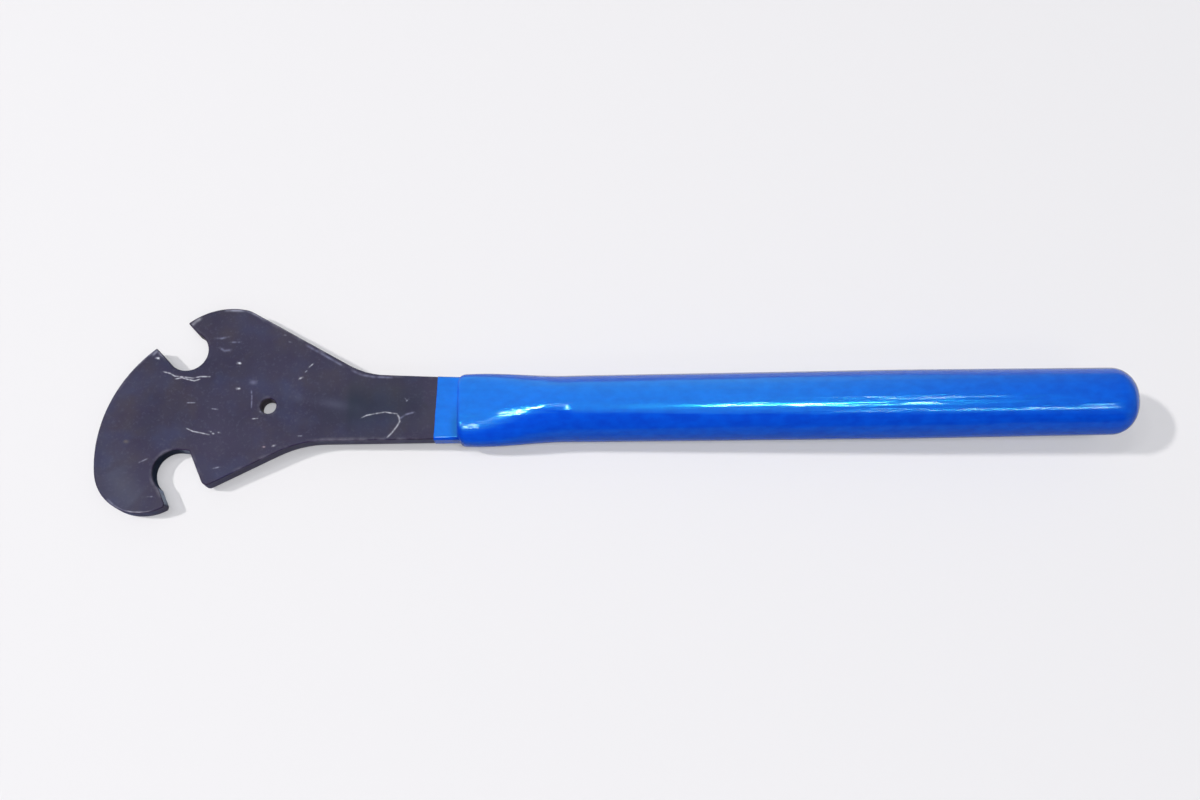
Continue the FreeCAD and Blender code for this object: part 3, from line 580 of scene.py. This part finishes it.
def fill_plate(shape, height, grid, ways):
    """Fills the flat face at one height again with a fine, even net."""
    loops = plate_loops(shape, height)
    rims = [np.array([(v.co.x, v.co.y) for v in loop]) / MM for loop in loops]
    spots = net_spots(rims, grid)
    extra = rim_spots(rims)
    if ways:
        extra = np.vstack([extra, mark_spots(rims, ways)])
        gaps = [distance_to_way(spots, way)[0] - MARK_REACH * half_width for way, half_width in ways]
        spots = spots[np.min(gaps, axis=0) > 0]
    # Only one spot of each small cell stays
    spots = np.vstack([spots, extra])
    cells = np.unique(np.round(spots / CELL).astype(int), axis=0, return_index=True)[1]
    spots = spots[np.sort(cells)]

    verts = [Vector(spot) for rim in rims for spot in rim]
    edges = []
    base = 0
    for rim in rims:
        edges += [(base + i, base + (i + 1) % len(rim)) for i in range(len(rim))]
        base += len(rim)
    verts += [Vector(spot) for spot in spots]
    result = geometry.delaunay_2d_cdt(verts, edges, [], 0, SAME_SPOT, True)
    out, faces, origin = result[0], result[2], result[3]
    middles = np.array([[sum(out[i].x for i in f) / 3, sum(out[i].y for i in f) / 3] for f in faces])
    rim_verts = [v for loop in loops for v in loop]
    made = []
    for spot, old in zip(out, origin):
        sources = [rim_verts[i] for i in old if i < len(rim_verts)]
        made.append(sources[0] if sources else shape.verts.new((spot.x * MM, spot.y * MM, height)))
    for face, kept in zip(faces, inside(middles, rims)):
        corners = [made[i] for i in face]
        if height < AXIS_HEIGHT:
            corners.reverse()
        if kept and len(set(corners)) == 3 and shape.faces.get(corners) is None:
            shape.faces.new(corners)
    for vert in [v for v in shape.verts if not v.link_faces]:
        shape.verts.remove(vert)
    return rims


def mark_layers(flat, on_top, ways):
    """Lays the marks over each other: a colour for each point, and how much of it shows."""
    colours = np.zeros((len(flat), 4))
    colours[:, :3] = PALE
    for (way, half_width), (colour, strength, _, _) in zip(ways, MARKS.values()):
        gap, along = distance_to_way(flat, way)
        length = float(np.sum(np.hypot(*np.diff(way, axis=0).T)))
        beat = min(BREAK_BEAT_MOST, BREAK_BEAT / half_width)
        seeds = (half_width * BREAK_SPREAD, length)
        waves = np.array([noise.noise(Vector((a * beat, *seeds))) for a in along])
        breaks = np.clip(BREAK_LEVEL + BREAK_SWING * waves, BREAK_LEAST, 1)
        ends = 1
        if length > LONG_MARK:
            fade = max(END_SHARE * length, END_LEAST)
            ends = np.clip(np.minimum(along, length - along) / fade + END_LEVEL, 0, 1)
        share = strength * np.exp(-(gap / half_width) ** 2) * breaks * ends
        share = np.where(on_top, np.clip(share, 0, 1), 0)
        below = colours[:, 3] * (1 - share)
        total = share + below
        mixed = np.outer(share, colour) + colours[:, :3] * below[:, None]
        mixed /= np.maximum(total, FAINTEST)[:, None]
        colours[:, :3] = np.where(total[:, None] > FAINTEST, mixed, colours[:, :3])
        colours[:, 3] = total
    return colours


def jaw_flat(face):
    """1 on the machined flats of the two jaws, half at a corner facet, machined steel with a painted
    highlight, 0 elsewhere.
    """
    if abs(face.normal.z) > UPRIGHT:
        return 0.0
    # Painted highlight: the corner facet that catches light is coloured half bare
    corner = pixel_on_plate(*LIT_JAW_CORNER)
    if (face.center - corner).to_2d().length < CORNER_REACH:
        return 0.5
    for mount in JAWS:
        axis = Vector(mount["axis"])
        gap = face.center - Vector(mount["pos_m"])
        across = Vector((-axis.y, axis.x, 0))
        faces_jaw = abs(face.normal.dot(across)) > FACING
        on_wall = abs(abs(gap.dot(across)) - JAW_HALF_OPENING) < JAW_WALL_GAP
        if faces_jaw and on_wall and -JAW_DEPTH < gap.dot(axis) < JAW_MOUTH:
            return 1.0
    return 0.0


def jaw_seat(face):
    """1 on the walls round a jaw, which are coloured darker than the outer sides: painted shade in the jaw
    recesses.
    """
    if abs(face.normal.z) > UPRIGHT:
        return 0.0
    gaps = [(face.center - Vector(mount["pos_m"])).to_2d().length for mount in JAWS]
    return float(min(gaps) < JAW_REACH)


def make_head():
    source = frame["nodes"]["head"]
    shape = bmesh.new()
    shape.from_mesh(source.data)
    shape.transform(source.matrix_world)
    bmesh.ops.remove_doubles(shape, verts=shape.verts, dist=SAME_POINT)
    for below_top in SIDE_LEVELS:
        everything = list(shape.verts) + list(shape.edges) + list(shape.faces)
        bmesh.ops.bisect_plane(shape, geom=everything, dist=SAME_PLANE, plane_no=(0, 0, 1),
                               plane_co=(0, 0, PLATE_TOP - below_top * MM))
    ways = []
    for _, _, half_width, pixels in MARKS.values():
        points = [pixel_on_plate(x, y) for x, y in pixels]
        ways.append((np.array([(p.x, p.y) for p in points]) / MM, half_width))
    rims = fill_plate(shape, PLATE_TOP, GRID, [way for way in ways if way[1] < GRID])
    fill_plate(shape, PLATE_BOTTOM, BACK_GRID, [])
    bmesh.ops.recalc_face_normals(shape, faces=shape.faces)
    mesh = bpy.data.meshes.new("worn_head")
    shape.to_mesh(mesh)
    shape.free()

    places = np.empty(len(mesh.vertices) * 3)
    mesh.vertices.foreach_get("co", places)
    places = places.reshape(-1, 3) / MM
    below_top = PLATE_TOP / MM - places[:, 2]
    on_top = below_top < ON_FACE
    off_rim = off_rims(places[:, :2], rims)
    from_faces = np.minimum(below_top, places[:, 2] - PLATE_BOTTOM / MM)
    off_edge = np.where(from_faces < ON_FACE, off_rim, np.maximum(from_faces - EDGE_BREAK, 0))
    colours = mark_layers(places[:, :2], on_top, ways)
    places[:, 2] -= np.where(on_top & (off_rim > RIM_KEPT), MARK_DEPTH * colours[:, 3], 0)
    mesh.vertices.foreach_set("co", (places * MM).ravel())
    add_attribute(mesh, "mark", "FLOAT_COLOR", "POINT", colours.ravel())
    add_attribute(mesh, "rim", "FLOAT", "POINT", np.clip(1 - off_edge / RIM_WEAR, 0, 1))
    add_attribute(mesh, "bare", "FLOAT", "FACE", [jaw_flat(f) for f in mesh.polygons])
    add_attribute(mesh, "seat", "FLOAT", "FACE", [jaw_seat(f) for f in mesh.polygons])

    mesh.polygons.foreach_set("use_smooth", [True] * len(mesh.polygons))
    mesh.set_sharp_from_angle(angle=SHARP_ANGLE)
    head = bpy.data.objects.new("worn_head", mesh)
    bpy.context.scene.collection.objects.link(head)
    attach(head, "root")
    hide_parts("head")
    return head


# Nodes that the materials, the floor and the room share. An input that is given another node's
# socket is linked to it, and any other value is set.

def add_node(tree, kind, inputs, **settings):
    node = tree.nodes.new(kind)
    for name, value in settings.items():
        setattr(node, name, value)
    connect(tree, node, inputs)
    return node


def connect(tree, node, inputs):
    for name, value in inputs.items():
        if isinstance(value, bpy.types.NodeSocket):
            tree.links.new(value, node.inputs[name])
        else:
            node.inputs[name].default_value = value


def object_place(tree):
    return add_node(tree, "ShaderNodeTexCoord", {}).outputs["Object"]


def split(tree, vector):
    return add_node(tree, "ShaderNodeSeparateXYZ", {0: vector}).outputs


def light_path(tree):
    return add_node(tree, "ShaderNodeLightPath", {}).outputs


def math_node(tree, operation, *values):
    return add_node(tree, "ShaderNodeMath", dict(enumerate(values)), operation=operation).outputs[0]


def times(tree, first, second):
    return math_node(tree, "MULTIPLY", first, second)


def span(tree, value, start, end, low=0.0, high=1.0, kind="LINEAR"):
    """Takes a value from start..end to low..high."""
    inputs = {"Value": value, "From Min": start, "From Max": end, "To Min": low, "To Max": high}
    return add_node(tree, "ShaderNodeMapRange", inputs, interpolation_type=kind).outputs[0]


def blend(tree, share, first, second, kind="MIX"):
    inputs = {0: share, 6: first, 7: second}
    return add_node(tree, "ShaderNodeMix", inputs, data_type="RGBA", blend_type=kind).outputs[2]


def mix_shader(tree, share, first, second):
    return add_node(tree, "ShaderNodeMixShader", {0: share, 1: first, 2: second}).outputs[0]


def ramp(tree, value, stops):
    """Colours for a value from 0 to 1."""
    node = add_node(tree, "ShaderNodeValToRGB", {0: value})
    elements = node.color_ramp.elements
    for place, _ in stops[1:-1]:
        elements.new(place)
    for element, (place, colour) in zip(elements, stops):
        element.position = place
        element.color = colour
    return node.outputs[0]


def noise_value(tree, scale, detail, stretch=None):
    place = object_place(tree)
    if stretch:
        place = add_node(tree, "ShaderNodeMapping", {"Vector": place, "Scale": stretch}).outputs[0]
    inputs = {"Vector": place, "Scale": scale, "Detail": detail}
    return add_node(tree, "ShaderNodeTexNoise", inputs).outputs["Fac"]


def clouds(tree, scale, detail, low, high, stretch=None):
    """Noise that is 0 below one level and 1 above another."""
    return span(tree, noise_value(tree, scale, detail, stretch), low, high)


def bump(tree, height, strength, distance, normal=None):
    inputs = {"Height": height, "Strength": strength, "Distance": distance}
    if normal:
        inputs["Normal"] = normal
    return add_node(tree, "ShaderNodeBump", inputs).outputs[0]


def attribute(tree, name):
    return add_node(tree, "ShaderNodeAttribute", {}, attribute_name=name).outputs


# Materials

def material(name):
    made = bpy.data.materials.new(name)
    made.use_nodes = True
    tree = made.node_tree
    return made, tree, tree.nodes["Principled BSDF"]


# Ripples in the vinyl: the noise's scale, its detail and its stretch along the handle
TONE_RIPPLES = (320, 4, (0.6, 1, 1))
GLOSS_RIPPLES = (180, 4, (0.25, 1, 1))
LONG_RIPPLES = (420, 3, (0.05, 1, 1))
FINE_RIPPLES = (1100, 3, (0.06, 1, 1))
LONG_HEIGHT = 0.16 * MM
FINE_HEIGHT = 0.05 * MM
FINE_STRENGTH = 0.6
# How much the painted shade in the hollow before the lip darkens the vinyl
PAINTED_SHADE_SHARE = 0.75
VINYL_ROUGHNESS = (0.08, 0.20)
VINYL_TONES = ((0.32, (0.001, 0.050, 0.54, 1)), (0.68, (0.001, 0.074, 0.64, 1)))
# The colour of the painted shade in the hollow before the lip
VINYL_PAINTED_SHADE = (0.001, 0.022, 0.28, 1)
VINYL_GLOSS = (0.04, 0.95, 0.95, 1)


def vinyl_material():
    """Dipped vinyl: even in tone, with ripples along the handle under a clear gloss, and a painted shade
    that colours it darker in the hollow before the lip.
    """
    made, tree, shader = material("blue vinyl")
    tones = ramp(tree, noise_value(tree, *TONE_RIPPLES), VINYL_TONES)
    # Painted shade in the hollow before the lip
    hollow_shade = times(tree, attribute(tree, "hollow")["Fac"], PAINTED_SHADE_SHARE)
    rough = span(tree, noise_value(tree, *GLOSS_RIPPLES), 0, 1, *VINYL_ROUGHNESS)
    long_bump = bump(tree, noise_value(tree, *LONG_RIPPLES), 1, LONG_HEIGHT)
    fine_bump = bump(tree, noise_value(tree, *FINE_RIPPLES), FINE_STRENGTH, FINE_HEIGHT, long_bump)
    connect(tree, shader, {
        "Base Color": blend(tree, hollow_shade, tones, VINYL_PAINTED_SHADE),
        "IOR": 1.78,
        "Specular Tint": VINYL_GLOSS,
        "Coat Weight": 0.6,
        "Coat Roughness": 0.05,
        "Coat Normal": long_bump,
        "Roughness": rough,
        "Normal": fine_bump,
    })
    return made


# Clouds in the oxide: the noise's scale, its detail and the levels that give 0 and 1
TONE_CLOUDS = (38, 3, 0.38, 0.64)
BARE_CLOUDS = (500, 3, 0.3, 0.6, (1, 1, 0.15))
RIM_CLOUDS = (160, 4, 0.50, 0.74)
GLOSS_CLOUDS = (220, 4, 0.3, 0.7)
GRAIN_CLOUDS = (2600, 3, 0.2, 0.8)
GRAIN_HEIGHT = 0.06 * MM
GRAIN_STRENGTH = 0.25
STEEL_ROUGHNESS = (0.40, 0.56)

# The oxide's tones, and its layers of mottling: clouds as above, their strength and their tone
OXIDE_DEEP = (0.021, 0.011, 0.034, 1)
OXIDE_VIOLET = (0.031, 0.020, 0.048, 1)
MOTTLING = (
    (85, 4, 0.46, 0.72, 0.55, (0.044, 0.028, 0.036, 1)),
    (60, 5, 0.52, 0.75, 0.5, (0.030, 0.034, 0.095, 1)),
    (900, 2, 0.55, 0.8, 0.35, (0.07, 0.06, 0.10, 1)),
)
# Painted light: the upright sides are coloured lighter than the oxide, standing in for light that falls on
# them
SIDE_PAINTED_LIGHT = (0.085, 0.070, 0.088, 1)
# Painted shade: the walls round a jaw are coloured darker than the oxide
JAW_WALL = (0.010, 0.012, 0.012, 1)
BARE_STEEL = (0.42, 0.47, 0.56, 1)
WORN_RIM = (0.22, 0.21, 0.27, 1)
RIM_STRENGTH = 0.5

# How far up or down a face looks where it is all side, and where it is no side
SIDE_LIMITS = (0.2, 0.6)


def steel_material():
    """Black oxide over steel, with sides coloured lighter as painted light, jaw walls coloured darker as
    painted shade, machined jaw faces, worn rims and marks, one of them partly a painted highlight.
    """
    made, tree, shader = material("black oxide steel")
    colour = blend(tree, clouds(tree, *TONE_CLOUDS), OXIDE_DEEP, OXIDE_VIOLET)
    for scale, detail, low, high, strength, tone in MOTTLING:
        share = times(tree, clouds(tree, scale, detail, low, high), strength)
        colour = blend(tree, share, colour, tone)
    normal = add_node(tree, "ShaderNodeNewGeometry", {}).outputs["True Normal"]
    upright = math_node(tree, "ABSOLUTE", split(tree, normal)["Z"])
    side = span(tree, upright, *SIDE_LIMITS, 1, 0)
    # Painted light on the upright sides
    colour = blend(tree, side, colour, SIDE_PAINTED_LIGHT)
    # Painted shade on the walls round the jaws
    colour = blend(tree, times(tree, side, attribute(tree, "seat")["Fac"]), colour, JAW_WALL)
    bare = times(tree, attribute(tree, "bare")["Fac"], clouds(tree, *BARE_CLOUDS))
    colour = blend(tree, bare, colour, BARE_STEEL)
    rim = times(tree, attribute(tree, "rim")["Fac"], clouds(tree, *RIM_CLOUDS))
    colour = blend(tree, times(tree, rim, RIM_STRENGTH), colour, WORN_RIM)
    mark = attribute(tree, "mark")
    colour = blend(tree, mark["Alpha"], colour, mark["Color"])
    connect(tree, shader, {
        "Base Color": colour,
        "IOR": 1.39,
        "Roughness": span(tree, clouds(tree, *GLOSS_CLOUDS), 0, 1, *STEEL_ROUGHNESS),
        "Normal": bump(tree, clouds(tree, *GRAIN_CLOUDS), GRAIN_STRENGTH, GRAIN_HEIGHT),
    })
    return made


TUBE_STEEL = (0.42, 0.42, 0.43, 1)
PLUG_PLASTIC = (0.02, 0.02, 0.02, 1)


def plain_material(name, colour, rough, metal):
    made, tree, shader = material(name)
    connect(tree, shader, {"Base Color": colour, "Roughness": rough, "Metallic": metal})
    return made


def dress(thing, made):
    thing.data.materials.clear()
    thing.data.materials.append(made)


# Floor
FLOOR_HALF = 3.0
FLOOR_DROP = 0.03 * MM
FLOOR_PAINT = (0.47, 0.47, 0.486, 1)
# Painted shade: the colour that the floor nearer than the handle shows in reflections
FLOOR_PAINTED_SHADE_IN_GLOSS = (0.14, 0.19, 0.40, 1)
MIRROR_FADE = 0.02
GLOW_COLOUR = (0.96, 0.96, 1.0, 1)
FLOOR_GLOW = 0.32
BACKDROP = (0.88, 0.88, 0.91, 1)
BACKDROP_START = 0.35
BACKDROP_END = 1.3


def floor_lean():
    """The slope at which the floor touches the nose of the head and the underside of the grip."""
    corners = [v.co for v in frame["nodes"]["grip"].data.vertices]
    return max((HEAD_LOW.z - v.z) / (v.x - HEAD_LOW.x) for v in corners)


def floor_material():
    """Pale paint. The part nearer than the handle is mirrored darker and bluer, a painted shade that
    only reflections show, and far from the tool the floor turns into the plain backdrop, so that no
    horizon shows in low views."""
    made, tree, shader = material("floor paint")
    tree.nodes.remove(shader)
    path = light_path(tree)
    place = object_place(tree)
    # Painted shade that only reflections show, on the floor nearer than the handle
    near = span(tree, split(tree, place)["Y"], HANDLE_Y - MIRROR_FADE, HANDLE_Y, 1, 0)
    mirrored = times(tree, path["Is Glossy Ray"], near)
    paint = blend(tree, mirrored, FLOOR_PAINT, FLOOR_PAINTED_SHADE_IN_GLOSS)
    diffuse = add_node(tree, "ShaderNodeBsdfDiffuse", {"Color": paint}).outputs[0]
    strength = times(tree, path["Is Camera Ray"], FLOOR_GLOW)
    glow = add_node(tree, "ShaderNodeEmission", {"Color": GLOW_COLOUR, "Strength": strength}).outputs[0]
    both = add_node(tree, "ShaderNodeAddShader", {0: diffuse, 1: glow}).outputs[0]
    reach = add_node(tree, "ShaderNodeVectorMath", {0: place}, operation="LENGTH").outputs["Value"]
    far = span(tree, reach, BACKDROP_START, BACKDROP_END, kind="SMOOTHSTEP")
    backdrop = add_node(tree, "ShaderNodeEmission", {"Color": BACKDROP}).outputs[0]
    seen = mix_shader(tree, times(tree, far, path["Is Camera Ray"]), both, backdrop)
    connect(tree, tree.nodes["Material Output"], {"Surface": seen})
    return made


def make_floor():
    half = FLOOR_HALF
    verts = [(-half, -half, 0), (half, -half, 0), (half, half, 0), (-half, half, 0)]
    floor = new_object("floor", verts, [(0, 1, 2, 3)])
    floor.rotation_euler = (0, math.atan(floor_lean()), 0)
    floor.location = (HEAD_LOW.x, 0, HEAD_LOW.z - FLOOR_DROP)
    dress(floor, floor_material())


# Lights. Each lamp tube: its two ends in metres, its width, how bright it is, its colour and
# whether surfaces mirror it.
WHITE = (1.0, 1.0, 1.0)
LAMPS = {
    "tube lamp left": ((-0.287, -0.51, 2.0), (-0.303, -0.27, 2.0), 0.06, 25, WHITE, True),
    "tube lamp far left": ((-0.33, -0.20, 2.0), (-0.78, 0.02, 2.0), 0.05, 7, (1.0, 0.7, 0.8), True),
    "tube lamp end": ((-0.80, 0.03, 2.0), (-0.97, 0.03, 2.0), 0.08, 90, WHITE, True),
    "tube lamp middle": ((-0.50, 0.0, 2.0), (-0.10, -0.03, 2.0), 0.03, 2, (1.0, 0.4, 0.5), True),
    "tube lamp right": ((0.25, -0.40, 2.0), (0.46, -0.52, 2.0), 0.11, 95, WHITE, True),
    "tube lamp far right": ((0.46, -0.52, 2.0), (0.76, -0.56, 2.0), 0.06, 48, WHITE, True),
    "tube lamp beyond": ((0.48, 0.18, 2.0), (0.84, 0.14, 2.0), 0.025, 34, WHITE, True),
    "near lamp": ((0.60, -1.53, 2.0), (0.98, -1.45, 2.0), 0.02, 40, WHITE, True),
    "far lamp": ((1.05, -1.60, 2.0), (1.34, -1.50, 2.0), 0.025, 60, WHITE, True),
    "side lamp": ((-3.32, 0.26, 4.0), (-3.08, 0.26, 4.0), 0.32, 1000, (1.0, 0.97, 0.93), False),
    "key lamp": ((-0.56, 0.17, 2.0), (-0.36, 0.17, 2.0), 0.2, 30, WHITE, False),
}
ROOM_COLOUR = (0.97, 0.98, 1.0, 1)
ROOM_LEVEL = 0.25
CEILING_LEVEL = 1.6
TOWARDS_BRIGHT = (0.694, 0.631, 0.347)
LEFT_END = -0.3
FADE_START = 0.12
FADE_END = 0.45
FADE_LEVEL = 0.2
CEILING_TONES = (
    (0.0, (0.03, 0.03, 0.30, 1)),
    (0.445, (0.04, 0.05, 0.40, 1)),
    (0.525, (0.34, 0.62, 0.76, 1)),
    (0.64, (0.44, 0.83, 0.86, 1)),
    (1.0, (0.50, 0.92, 0.92, 1)),
)


def strip_lamp(name, start, end, width, glow, colour, is_mirrored):
    start, end = Vector(start), Vector(end)
    length = (end - start).length
    middle = (start + end) / 2
    data = bpy.data.lights.new(name, "AREA")
    data.shape = "RECTANGLE"
    data.size = length
    data.size_y = width
    data.energy = glow * math.pi * length * width
    data.color = colour
    lamp = bpy.data.objects.new(name, data)
    lamp.visible_glossy = is_mirrored
    # It faces the origin
    x_axis = (end - start).normalized()
    z_axis = (middle - x_axis * middle.dot(x_axis)).normalized()
    y_axis = z_axis.cross(x_axis)
    turn = Matrix((x_axis, y_axis, z_axis)).transposed().to_4x4()
    lamp.matrix_world = Matrix.Translation(middle) @ turn
    bpy.context.scene.collection.objects.link(lamp)


def background(tree, colour, strength):
    return add_node(tree, "ShaderNodeBackground", {"Color": colour, "Strength": strength}).outputs[0]


def make_room():
    """A pale room that surfaces mirror brighter on one side and darker and bluer on the other."""
    world = bpy.data.worlds.new("room")
    bpy.context.scene.world = world
    world.use_nodes = True
    tree = world.node_tree
    tree.nodes.remove(tree.nodes["Background"])
    path = light_path(tree)
    way = split(tree, add_node(tree, "ShaderNodeTexCoord", {}).outputs["Generated"])
    # Beyond LEFT_END the border between the two sides runs straight on
    kept = {"X": math_node(tree, "MAXIMUM", way["X"], LEFT_END), "Y": way["Y"], "Z": way["Z"]}
    kept = add_node(tree, "ShaderNodeCombineXYZ", kept).outputs[0]
    border = add_node(tree, "ShaderNodeVectorMath", {0: kept, 1: TOWARDS_BRIGHT}, operation="DOT_PRODUCT")
    tones = ramp(tree, span(tree, border.outputs["Value"], -1, 1), CEILING_TONES)
    fade = span(tree, way["X"], FADE_START, FADE_END, 1, FADE_LEVEL)
    mirrored = background(tree, blend(tree, 1, tones, fade, "MULTIPLY"), CEILING_LEVEL)
    unseen = mix_shader(tree, path["Is Glossy Ray"], background(tree, ROOM_COLOUR, ROOM_LEVEL), mirrored)
    room = mix_shader(tree, path["Is Camera Ray"], unseen, background(tree, BACKDROP, 1))
    connect(tree, tree.nodes["World Output"], {"Surface": room})


# The scene
make_camera()
dress(make_grip(), vinyl_material())
dress(make_head(), steel_material())
dress(frame["nodes"]["handle_tube"], plain_material("tube steel", TUBE_STEEL, rough=0.35, metal=1))
dress(frame["nodes"]["end_plug"], plain_material("plug plastic", PLUG_PLASTIC, rough=0.6, metal=0))
make_floor()
for name, settings in LAMPS.items():
    strip_lamp(name, *settings)
make_room()
bpy.context.scene.view_settings.view_transform = "Standard"

bpy.context.view_layer.update()
